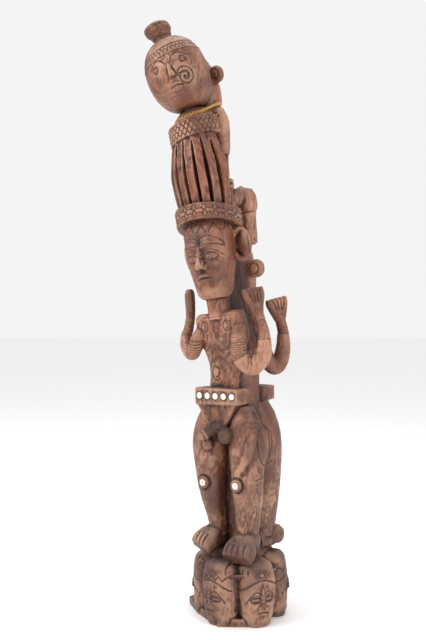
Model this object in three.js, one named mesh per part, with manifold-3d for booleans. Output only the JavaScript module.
// A carved wooden post of back-to-back figures, cut from one leaning log, with shell discs let into it.
// Units are millimetres and +Z is up. The log stands on z = 0, with the origin under its middle.
// The front figure faces -Y, so its left hand is on +X. Everything is first carved on a straight log,
// where z is the distance along the log, and is then bent with the log.
import * as THREE from "three";
import { mergeVertices } from "three/addons/utils/BufferGeometryUtils.js";
import Module from "manifold-3d";

const wasm = await Module();
wasm.setup();

// Driving dimensions
const LEAN_TURN = 35; // degrees from -X towards -Y: the way that the log leans
const LEAN = [ // [height, how far the log's middle has leaned over]
  [0, 0], [60, 0], [330, 9], [540, 16], [680, 17], [880, 44], [1025, 66],
  [1200, 99], [1280, 119], [1360, 150], [1440, 183], [1520, 222],
];
const PLATE_THICK = 18;
const PLATE_CORNERS = [
  [-137, -31], [-81, -73], [10, -114], [68, -76], [84, -16], [88, 57], [30, 112], [-66, 108], [-118, 44],
];
const PLATFORM = 124; // top of the base, between the heads
const BASE_HEADS = 6;
const BASE_HEAD_RING = 78; // from the log's middle to a head's middle
const BASE_HEAD = { wide: 48, deep: 39, high: 152 }; // half widths, and the height
const FIRST_FACE_TURN = -20; // degrees that the front head of the ring looks aside
const BELT = { low: 524, high: 563, x: 2, half: 61, front: 86, back: 94 }; // front and back are its faces
const HIP_DROP = 62; // from the belt to the tip of the wedge of the hips
const KNEE_X = { right: -44, left: 51 };
const KNEE_HEIGHT = 334;
const KNEE_FACE = 86;
const SHELL_THICK = 4;
const SHELL_PROUD = 1; // how far a shell stands out of the wood
const SHELL_GAP = 0.3; // between a shell and the wood around it
const BELT_SHELLS = { count: 5, radius: 7.5, pitch: 23.5, height: 545 };
const KNEE_SHELL_RADIUS = 8.5;
const ELBOW_RISE = 30; // how much higher the front figure's right elbow is than its left one
const CROWN = { x: 6, y: -35 }; // middle of the arc that the bands and slats stand on
const SLATS = { count: 8, step: 21.5, wide: 19, deep: 40, low: 985, high: 1182 }; // the step is in degrees
const JAR = { x: 4, y: -34, top: 1440, face: 21 }; // face is the azimuth that the jar's face looks to
const STOPPER_LEAN = 0.16; // the jar's stopper leans this much more than the log

// Small helpers

const radians = THREE.MathUtils.degToRad;
const mirrored = (make) => [make(1), make(-1)];

// A point at this distance from the middle towards an azimuth, which is 0 at the front and 90 on +X.
function polar(azimuth, distance, z, middle = { x: 0, y: 0 }) {
  const angle = radians(azimuth);
  return new THREE.Vector3(middle.x + distance * Math.sin(angle), middle.y - distance * Math.cos(angle), z);
}

// Reads a list of [position, value, value, ...] rows at a position, smoothly between rows.
function along(rows, at) {
  const last = rows.length - 1;
  if (at <= rows[0][0]) return rows[0].slice(1);
  if (at >= rows[last][0]) return rows[last].slice(1);
  const i = rows.findIndex((row) => row[0] > at);
  const [low, high] = [rows[i - 1], rows[i]];
  const even = (at - low[0]) / (high[0] - low[0]);
  const t = (THREE.MathUtils.smoothstep(at, low[0], high[0]) + even) / 2;
  return low.slice(1).map((value, k) => THREE.MathUtils.lerp(value, high[k + 1], t));
}

// How far a direction must be stretched to lie on a rounded square: 2 is a circle, 4 nearly a square.
function roundedReach(parts, power) {
  const size = Math.pow(parts.reduce((sum, part) => sum + Math.pow(Math.abs(part), power), 0), 1 / power);
  return size < 1e-6 ? 0 : 1 / size;
}

// A closed three.js geometry as a solid, after each vertex has been moved by place.
function solid(geometry, place) {
  const plain = geometry.clone();
  plain.deleteAttribute("normal");
  plain.deleteAttribute("uv");
  const position = plain.getAttribute("position");
  for (let i = 0; i < position.count; i++) {
    const moved = place(new THREE.Vector3().fromBufferAttribute(position, i));
    position.setXYZ(i, moved.x, moved.y, moved.z);
  }
  const merged = mergeVertices(plain, 1e-3);
  const corners = Array.from(merged.index.array);
  const triangles = Array.from({ length: corners.length / 3 }, (_, i) => corners.slice(3 * i, 3 * i + 3));
  const whole = triangles.filter(([a, b, c]) => a !== b && b !== c && c !== a);
  const vertProperties = merged.getAttribute("position").array;
  const make = (faces) => {
    const triVerts = new Uint32Array(faces.flat());
    return new wasm.Manifold(new wasm.Mesh({ numProp: 3, vertProperties, triVerts }));
  };
  const made = make(whole);
  return made.volume() > 0 ? made : make(whole.map(([a, b, c]) => [a, c, b]));
}

const union = (solids) => solids.reduce((all, next) => all.add(next));

// A round lump with these half sizes, turned about Z and put at a centre.
function lump(centre, half, { power = 2, around = 8, high = 4, turn = 0 } = {}) {
  const sphere = new THREE.SphereGeometry(1, around, high).rotateX(Math.PI / 2);
  const up = new THREE.Vector3(0, 0, 1);
  return solid(sphere, (v) =>
    v
      .multiplyScalar(roundedReach(v.toArray(), power))
      .multiply(new THREE.Vector3(...half))
      .applyAxisAngle(up, radians(turn))
      .add(new THREE.Vector3(...centre)),
  );
}

const LIMB_SHAPE = { side: [1, 0, 0], around: 8, steps: 7, power: 2, place: (v) => v };

// A limb swept along points. Each row of sizes is [place along it from 0 to 1, half width, half depth].
// The half width lies towards the given side.
function limb(points, sizes, shape = {}) {
  const { side, around, steps, power, place } = { ...LIMB_SHAPE, ...shape };
  const curve = new THREE.CatmullRomCurve3(points.map((p) => new THREE.Vector3(...p)));
  const towards = new THREE.Vector3(...side);
  return solid(new THREE.CylinderGeometry(1, 1, 1, around, steps), (v) => {
    const t = v.y + 0.5;
    const [wide, deep] = along(sizes, t);
    const tangent = curve.getTangentAt(t);
    const width = towards.clone().addScaledVector(tangent, -towards.dot(tangent)).normalize();
    const depth = tangent.clone().cross(width);
    const reach = roundedReach([v.x, v.z], power);
    const out = width.multiplyScalar(v.x * reach * wide).addScaledVector(depth, -v.z * reach * deep);
    return place(curve.getPointAt(t).add(out));
  });
}

// An upright body whose level sections are rounded rectangles.
// Each row is [z, left x, right x, front y, back y].
function tower(rows, { around = 10, power = 3, place = (v) => v } = {}) {
  const [low, high] = [rows[0][0], rows[rows.length - 1][0]];
  const tube = new THREE.CylinderGeometry(1, 1, 1, around, rows.length - 1).rotateX(Math.PI / 2);
  return solid(tube, (v) => {
    const z = low + (v.z + 0.5) * (high - low);
    const [left, right, front, back] = along(rows, z);
    const reach = roundedReach([v.x, v.y], power);
    const x = (left + right) / 2 + (v.x * reach * (right - left)) / 2;
    const y = (front + back) / 2 + (v.y * reach * (back - front)) / 2;
    return place(v.set(x, y, z));
  });
}

// A block with bevelled upright edges. Taper gives its width and depth as shares at a height from 0 to 1.
function block([wide, deep, high], centre, { bevel, taper = () => [1, 1] }) {
  const [w, d] = [wide / 2, deep / 2];
  const half = [[-w + bevel, -d], [w - bevel, -d], [w, -d + bevel], [w, d - bevel]];
  const outline = [...half, ...half.map(([x, y]) => [-x, -y])].map(([x, y]) => new THREE.Vector2(x, y));
  const pressed = new THREE.ExtrudeGeometry(new THREE.Shape(outline), { depth: high, bevelEnabled: false });
  return solid(pressed, (v) => {
    const [across, through] = taper(v.z / high);
    return v.set(v.x * across, v.y * through, v.z - high / 2).add(new THREE.Vector3(...centre));
  });
}

// A band bent round the crown. It arches down to its ends, and slopes up towards +X.
function crownBand({ reach, inner, outer, low, height, arch, slope, steps = 9 }) {
  return solid(new THREE.BoxGeometry(1, 1, 1, steps, 1, 1), (v) => {
    const share = 2 * v.x; // from -1 to 1
    const edge = low - arch * share * share + (v.z + 0.5) * height;
    const point = polar(share * reach, v.y > 0 ? outer : inner, edge, CROWN);
    return point.setZ(edge + point.x * slope);
  });
}

// The base: a rough plate, a drum with a lip, a pedestal, and a ring of heads facing outwards

function plate() {
  const outline = new THREE.Shape(PLATE_CORNERS.map(([x, y]) => new THREE.Vector2(x, y)));
  return solid(new THREE.ExtrudeGeometry(outline, { depth: PLATE_THICK, bevelEnabled: false }), (v) => v);
}

// An upright round piece that ends at the platform.
function roundPiece(topRadius, lowRadius, high) {
  const cylinder = new THREE.CylinderGeometry(topRadius, lowRadius, high, 12).rotateX(Math.PI / 2);
  return solid(cylinder, (v) => v.setZ(v.z + PLATFORM - high / 2));
}

// One head of the ring: a block with round sides, narrower at the chin, with a low wedge of a nose.
// Turn is how far its face looks aside.
function baseHead(azimuth, turn) {
  const { wide, deep, high } = BASE_HEAD;
  const rows = [[0, 0.66, 0.84], [0.2, 0.88, 0.96], [0.62, 1, 1], [0.9, 0.86, 0.88], [1, 0.55, 0.6]];
  const up = new THREE.Vector3(0, 0, 1);
  const place = (v) => v.applyAxisAngle(up, radians(azimuth)).add(polar(azimuth, BASE_HEAD_RING, 0));
  const aside = (v) => place(v.applyAxisAngle(up, radians(turn)));
  const sections = rows.map(([share, across, out]) => {
    const [w, d] = [wide * across, deep * out];
    return [share * high, -w, w, -d, d];
  });
  const skull = tower(sections, { around: 11, power: 2.8, place });
  const [brow, tip] = [[0, 6 - deep, 0.6 * high], [0, 4 - deep, 0.38 * high]];
  const nose = limb([brow, tip], [[0, 4, 5], [1, 8, 6]], { around: 4, steps: 1, place: aside });
  return skull.add(nose);
}

function base() {
  const heads = Array.from({ length: BASE_HEADS }, (_, i) =>
    baseHead((i * 360) / BASE_HEADS, i === 0 ? FIRST_FACE_TURN : 0),
  );
  const stepped = [[PLATFORM - 10, -76, 72, -70, 74], [148, -72, 66, -64, 68], [168, -62, 54, -50, 56]];
  const pedestal = tower(stepped);
  return [plate(), roundPiece(84, 84, PLATFORM), roundPiece(105, 96, 20), ...heads, pedestal];
}

// Feet and legs

// A foot: a wedge from the heel, past the ankle, down to blunt toes.
function foot(heel, ankle, toes, { half, thick }) {
  const arch = ankle.map((value, k) => (value + toes[k]) / 2 + (k === 2 ? 5 : 0));
  const sizes = [
    [0, 18, 24], [0.35, 22, 28], [0.75, half, thick + 4], [0.96, half, thick], [1, half - 3, thick - 6],
  ];
  return limb([heel, ankle, arch, toes], sizes, { steps: 4, power: 3.4 });
}

function feet() {
  return [
    foot([-34, -10, 190], [-38, -42, 198], [-56, -88, 176], { half: 31, thick: 20 }),
    foot([50, -10, 180], [53, -46, 192], [53, -94, 162], { half: 38, thick: 22 }),
    foot([-42, 14, 176], [-42, 50, 176], [-50, 96, 160], { half: 28, thick: 17 }),
    foot([42, 14, 180], [46, 56, 184], [56, 90, 172], { half: 27, thick: 21 }),
  ];
}

// The front legs aren't alike: the right one stands closer in.
function frontLegs() {
  const right = limb(
    [[-34, -30, 512], [-46, -38, 450], [-46, -41, 390], [-44, -44, 335], [-40, -42, 285], [-30, -34, 200]],
    [[0, 30, 30], [0.12, 39, 40], [0.3, 44, 44], [0.5, 38, 38], [0.66, 32, 34], [0.8, 25, 29], [1, 18, 26]],
    { around: 9, power: 2.3 },
  );
  const left = limb(
    [[40, -30, 512], [56, -36, 450], [58, -38, 390], [58, -42, 335], [58, -42, 285], [50, -36, 195]],
    [[0, 28, 30], [0.12, 36, 40], [0.3, 41, 43], [0.5, 38, 39], [0.66, 35, 36], [0.8, 29, 33], [1, 22, 28]],
    { around: 9, power: 2.3 },
  );
  return [right, left];
}

function backLeg(side) {
  const points = [[38, 34, 522], [50, 46, 450], [52, 50, 390], [50, 52, 335], [48, 48, 280], [43, 44, 190]];
  const sizes = [[0, 30, 32], [0.12, 39, 43], [0.3, 43, 46], [0.5, 39, 43], [0.75, 34, 37], [1, 26, 32]];
  return limb(points.map(([x, y, z]) => [side * x, y, z]), sizes, { steps: 6, power: 2.3 });
}

function legs() {
  const knee = (x) => lump([x, -74, KNEE_HEIGHT], [17, 15, 18], { around: 9 });
  const thighMuscle = (side) => lump([side * 74, -4, 418], [19, 30, 54], { high: 5 });
  const knees = [knee(KNEE_X.right), knee(KNEE_X.left)];
  return [...frontLegs(), ...mirrored(backLeg), ...feet(), ...mirrored(thighMuscle), ...knees];
}

// The log's uncut middle, from the pedestal to the crown, between the front and the back figures.
function core() {
  const rows = [
    [140, -36, 40, -24, 30], [330, -48, 54, -28, 36], [440, -66, 66, -34, 44], [560, -60, 60, -44, 50],
    [700, -52, 52, -34, 48], [752, -28, 28, -40, 44], [980, -42, 44, -44, 44], [1180, -40, 40, -52, 44],
    [1240, -36, 36, -40, 44],
  ];
  return tower(rows, { around: 8 });
}

// Belts, hips and sex. Face is -1 for the front figure and 1 for the back one.

function belt(face) {
  const reach = face < 0 ? BELT.front : BELT.back;
  const inside = 34;
  const size = [2 * BELT.half, reach - inside, BELT.high - BELT.low];
  return block(size, [BELT.x, (face * (reach + inside)) / 2, (BELT.high + BELT.low) / 2], { bevel: 5 });
}

function hips(face) {
  const taper = (t) => [THREE.MathUtils.lerp(0.34, 1, t), THREE.MathUtils.lerp(0.9, 1, t)];
  return block([112, 54, HIP_DROP], [0, face * 57, BELT.low + 2 - HIP_DROP / 2], { bevel: 4, taper });
}

function sex() {
  const sizes = [[0, 15, 14], [0.7, 13, 13], [0.85, 12, 12], [1, 8, 8]];
  const shaft = limb([[16, -66, 476], [-4, -88, 466], [-30, -112, 449]], sizes, { steps: 4 });
  return [shaft, lump([24, -80, 452], [18, 20, 21]), lump([-24, -86, 432], [14, 14, 17], { around: 7 })];
}

// The two standing figures' bodies and arms

function frontTorso() {
  const rows = [
    [555, -40, 42, -52, -10], [610, -42, 44, -58, -10], [650, -52, 52, -66, -10], [690, -68, 66, -74, -12],
    [738, -68, 65, -74, -20], [750, -60, 58, -66, -26],
  ];
  return tower(rows, { power: 3.6, around: 12 });
}

function backTorso() {
  const rows = [
    [555, -44, 44, 10, 60], [620, -46, 46, 10, 64], [690, -62, 62, 12, 74], [722, -60, 60, 14, 72],
    [732, -50, 50, 16, 64],
  ];
  return tower(rows, { around: 12 });
}

// A front arm: down the chest, round a low elbow and up to an open hand beside the chin.
function frontArm(side) {
  const rise = side > 0 ? 0 : ELBOW_RISE;
  const arm = limb(
    [
      [side * 54, -54, 712], [side * 60, -72, 672 + rise / 2], [side * 66, -72, 638 + rise],
      [side * 88, -60, 617 + rise], [side * 110, -48, 640 + rise], [side * 115, -42, 684 + rise / 2],
      [side * 108, -39, 716], [side * 101, -38, 742],
    ],
    [[0, 15, 17], [0.2, 18, 19], [0.45, 18, 21], [0.62, 17, 19], [0.8, 14, 14], [1, 12, 11]],
    { side: [side * -0.53, 0.85, 0], steps: 9 },
  );
  const palm = limb(
    [[side * 102, -38, 730], [side * 97, -36, 764], [side * 92, -34, 797 + 0.8 * rise]],
    [[0, 12, 11], [0.3, 17, 12], [0.85, 28, 13], [1, 27, 9]],
    { side: [side * 0.57, 0.82, 0], steps: 3, power: 3 },
  );
  return arm.add(palm);
}

function backArm(side) {
  const arm = limb(
    [
      [side * 54, 40, 690], [side * 58, 44, 655], [side * 66, 54, 624], [side * 78, 70, 612],
      [side * 88, 84, 638], [side * 92, 88, 684], [side * 90, 85, 712], [side * 89, 84, 724],
    ],
    [[0, 18, 19], [0.3, 19, 20], [0.5, 19, 21], [0.7, 17, 18], [0.88, 13, 14], [1, 13, 13]],
    { side: [side * -0.8, 0.6, 0], around: 7, steps: 8 },
  );
  const palm = limb(
    [[side * 89, 84, 714], [side * 88, 83, 736], [side * 87, 80, 767]],
    [[0, 14, 11], [0.3, 22, 12], [0.85, 31, 13], [1, 30, 10]],
    { side: [side * 0.45, 0.89, 0], steps: 3, power: 3 },
  );
  return arm.add(palm);
}

// Heads of the standing figures

function frontHead() {
  const neckRows = [[735, -28, 30, -78, -20], [765, -25, 27, -78, -20], [800, -28, 32, -78, -20]];
  const rows = [
    [786, -30, 42, -92, -34], [800, -36, 50, -98, -30], [830, -42, 58, -102, -24],
    [862, -49, 66, -106, -18], [900, -54, 72, -110, -12], [940, -54, 72, -110, -8],
    [968, -46, 62, -98, -12], [986, -32, 46, -80, -22],
  ];
  const skull = tower(rows, { power: 2.6, around: 13 });
  const middle = 7; // the face's middle is on this x
  const nose = limb(
    [[middle, -106, 912], [middle, -111, 888], [middle, -114, 862]], [[0, 7, 8], [0.6, 9, 10], [1, 15, 10]],
    { around: 7, steps: 2 },
  );
  const brow = [[4, -107, 914], [26, -105, 922], [50, -86, 908]];
  const brows = mirrored((side) => {
    const points = brow.map(([x, y, z]) => [middle + side * x, y, z]);
    return limb(points, [[0, 8, 5], [0.5, 7, 5], [1, 5, 4]], { around: 5, steps: 3, side: [0, 0, 1] });
  });
  const lips = lump([middle, -97, 838], [20, 9, 9]);
  return [tower(neckRows, { power: 2.4 }), skull, nose, ...brows, lips];
}

// A flared ear with a hollow in its front.
function ear(centre, half) {
  const side = Math.sign(centre[0]);
  const turn = -side * 24;
  const hollowCentre = [centre[0] + side * 3, centre[1] - half[1] - 2, centre[2] + 2];
  const hollow = lump(hollowCentre, [0.66 * half[0], 0.9 * half[1], 0.7 * half[2]], { turn });
  return lump(centre, half, { power: 2.6, around: 9, high: 6, turn }).subtract(hollow);
}

const frontEars = () => [ear([-66, -38, 903], [22, 12, 42]), ear([82, -34, 905], [24, 12, 42])];

function backHead() {
  const rows = [
    [774, -34, 34, 0, 84], [790, -42, 42, -4, 90], [830, -50, 50, -8, 94], [885, -52, 52, -10, 92],
    [918, -42, 42, -4, 80], [932, -26, 26, 8, 62],
  ];
  const neck = tower([[715, -32, 32, 10, 74], [800, -30, 30, 12, 74]], { power: 2.4 });
  const nose = limb([[0, 92, 876], [0, 100, 836]], [[0, 6, 7], [1, 12, 9]], { around: 6, steps: 1 });
  const ears = mirrored((side) => lump([side * 70, 34, 846], [24, 14, 23], { high: 5 }));
  return [neck, tower(rows, { power: 2.4, around: 12 }), nose, ...ears];
}

// The crown: a visor band, tall slats that bulge, and a second band and a collar above them

function slat(i) {
  const azimuth = (i - (SLATS.count - 1) / 2) * SLATS.step;
  const bulge = [[SLATS.low, 66], [1030, 76], [1080, 79], [1130, 72], [SLATS.high, 58]];
  return solid(new THREE.BoxGeometry(1, 1, 1, 1, 1, 3), (v) => {
    const z = THREE.MathUtils.lerp(SLATS.low, SLATS.high, v.z + 0.5);
    const [reach] = along(bulge, z);
    const across = polar(azimuth + 90, v.x * SLATS.wide * (v.y > 0 ? 1 : 0.7), 0);
    return polar(azimuth, v.y > 0 ? reach : reach - SLATS.deep, z, CROWN).add(across);
  });
}

function crown() {
  const collar = [[1206, -48, 50, -90, 30], [1232, -42, 46, -74, 40], [1254, -36, 38, -50, 50]];
  return [
    crownBand({ reach: 92, inner: 40, outer: 87, low: 977, height: 38, arch: 28, slope: 0 }),
    ...Array.from({ length: SLATS.count }, (_, i) => slat(i)),
    crownBand({ reach: 100, inner: 30, outer: 66, low: 1176, height: 42, arch: 4, slope: 0.12 }),
    tower(collar, { around: 12, power: 2.4 }),
  ];
}

// The jar-shaped top head with its stopper

function jarHead() {
  const profile = [ // [radius, z]
    [0, 1257], [42, 1262], [62, 1285], [74, 1318], [77, 1350], [73, 1384], [61, 1412],
    [40, 1432], [23, JAR.top], [27, 1456], [33, 1468], [30, 1483], [0, 1489],
  ];
  const outline = profile.map(([r, z]) => new THREE.Vector2(r, z));
  const jar = solid(new THREE.LatheGeometry(outline, 14).rotateX(Math.PI / 2), (v) => {
    const lean = STOPPER_LEAN * Math.max(v.z - JAR.top, 0);
    return v.set(v.x + JAR.x - lean, v.y + JAR.y, v.z);
  });
  const ridge = [polar(JAR.face, 68, 1362, JAR), polar(JAR.face, 75, 1330, JAR)].map((v) => v.toArray());
  const side = polar(JAR.face + 90, 1, 0).toArray();
  return [jar, limb(ridge, [[0, 6, 7], [1, 12, 9]], { side, around: 6, steps: 1 })];
}

// The upper back figure, seated on the lower one's head

function upperHead() {
  const rows = [
    [1250, -36, 36, 0, 80], [1278, -46, 46, -6, 90], [1330, -52, 52, -10, 94], [1372, -46, 46, -10, 88],
    [1402, -30, 30, -4, 70],
  ];
  const neck = tower([[1225, -34, 34, 0, 66], [1270, -34, 34, 0, 68]], { around: 8, power: 2.4 });
  const nose = limb([[0, 88, 1348], [0, 96, 1320]], [[0, 6, 7], [1, 11, 8]], { around: 5, steps: 1 });
  const ears = mirrored((side) => lump([side * 62, 44, 1326], [20, 13, 20]));
  return [tower(rows, { power: 2.4, around: 11 }), neck, nose, ...ears];
}

function upperArm(side) {
  const points = [[46, 26, 1248], [48, 28, 1214], [42, 26, 1176], [37, 28, 1146], [26, 42, 1160]];
  const sizes = [[0, 14, 16], [0.25, 18, 21], [0.7, 17, 18], [1, 11, 12]];
  return limb(points.map(([x, y, z]) => [side * x, y, z]), sizes, { around: 7, steps: 5 });
}

// A bent leg, with its knee to the back and its foot hanging beside the lower figure's head.
function bentLeg(side) {
  const points = [
    [20, 26, 1016], [40, 44, 1024], [54, 60, 1034], [58, 62, 1012], [56, 58, 970], [58, 56, 908],
  ];
  const sizes = [[0, 22, 22], [0.25, 24, 24], [0.42, 23, 23], [0.6, 19, 20], [0.9, 15, 17], [1, 13, 14]];
  const cuff = lump([side * 56, 60, 1016], [24, 24, 30], { power: 3.4 });
  return limb(points.map(([x, y, z]) => [side * x, y, z]), sizes).add(cuff);
}

function upperBack() {
  const torsoRows = [[1085, -38, 38, 0, 46], [1200, -46, 46, 0, 58], [1240, -42, 42, 0, 56]];
  const torso = tower(torsoRows, { around: 8 });
  const waist = block([80, 46, 24], [0, 26, 1068], { bevel: 8 });
  const seat = tower([[900, -46, 46, 0, 62], [975, -52, 52, 0, 70], [1060, -42, 42, 0, 48]], { around: 8 });
  return [...upperHead(), torso, ...mirrored(upperArm), waist, ...mirrored(bentLeg), seat];
}

// Shell discs, which face the front, and the sockets that hold them

function disc(x, face, z, radius, thick) {
  const cylinder = new THREE.CylinderGeometry(radius, radius, thick, 12);
  return solid(cylinder, (v) => v.set(v.x + x, v.y - face + thick / 2, v.z + z));
}

function beltShell(i) {
  const { count, radius, pitch, height } = BELT_SHELLS;
  const x = BELT.x + (i - (count - 1) / 2) * pitch;
  return { name: `belt_shell_${i + 1}`, x, face: BELT.front, z: height, radius };
}

const shells = [
  ...Array.from({ length: BELT_SHELLS.count }, (_, i) => beltShell(i)),
  ...["right", "left"].map((side) => ({
    name: `knee_shell_${side}`,
    x: KNEE_X[side],
    face: KNEE_FACE,
    z: KNEE_HEIGHT,
    radius: KNEE_SHELL_RADIUS,
  })),
];

// The bend of the log

const leanWay = new THREE.Vector2(-Math.cos(radians(LEAN_TURN)), -Math.sin(radians(LEAN_TURN)));
const leaned = LEAN.map(([z, over]) => new THREE.Vector3(leanWay.x * over, leanWay.y * over, z));
const spine = new THREE.CatmullRomCurve3(leaned);
spine.arcLengthDivisions = 600;
const spineLength = spine.getLength();
const upright = new THREE.Vector3(0, 0, 1);

function bend(v) {
  if (v.z <= LEAN[1][0]) return v;
  const at = Math.min(v.z / spineLength, 1);
  const turn = new THREE.Quaternion().setFromUnitVectors(upright, spine.getTangentAt(at));
  return new THREE.Vector3(v.x, v.y, 0).applyQuaternion(turn).add(spine.getPointAt(at));
}

// The vertices and triangles of a solid, bent with the log, as a geometry.
function bent(made) {
  const { numProp, numVert, vertProperties, triVerts } = made.getMesh();
  const position = new Float32Array(numVert * 3);
  for (let i = 0; i < numVert; i++) {
    const corner = vertProperties.subarray(i * numProp, i * numProp + 3);
    bend(new THREE.Vector3(...corner)).toArray(position, i * 3);
  }
  const geometry = new THREE.BufferGeometry();
  geometry.setAttribute("position", new THREE.BufferAttribute(position, 3));
  geometry.setIndex(new THREE.BufferAttribute(new Uint32Array(triVerts), 1));
  geometry.computeVertexNormals();
  return geometry;
}

// The wood: everything joined, cut flat below, with a socket for each shell.
function carving() {
  const lower = [...base(), ...legs(), core(), ...mirrored(belt), ...mirrored(hips), ...sex()];
  const bodies = [frontTorso(), backTorso(), ...mirrored(frontArm), ...mirrored(backArm)];
  const heads = [...frontHead(), ...frontEars(), ...backHead()];
  const wood = union([...lower, ...bodies, ...heads, ...crown(), ...jarHead(), ...upperBack()]);
  const above = solid(new THREE.BoxGeometry(800, 800, 1700), (v) => v.setZ(v.z + 850));
  const clear = 10; // how far a socket's cutter stands out of the face
  const deep = SHELL_THICK - SHELL_PROUD + clear + SHELL_GAP;
  const sockets = shells.map((s) => disc(s.x, s.face + clear, s.z, s.radius + SHELL_GAP, deep));
  return wood.intersect(above).subtract(union(sockets));
}

const woodFinish = new THREE.MeshStandardMaterial({ color: 0x6b4030, roughness: 0.55, metalness: 0 });
const shellFinish = new THREE.MeshStandardMaterial({ color: 0xe4dfd0, roughness: 0.35, metalness: 0 });

const figure = new THREE.Group();
const carved = new THREE.Mesh(bent(carving()), woodFinish);
carved.name = "carved_figure";
figure.add(carved);
for (const s of shells) {
  const geometry = bent(disc(s.x, s.face + SHELL_PROUD, s.z, s.radius, SHELL_THICK));
  const inlay = new THREE.Mesh(geometry, shellFinish);
  inlay.name = s.name;
  figure.add(inlay);
}

export default figure;
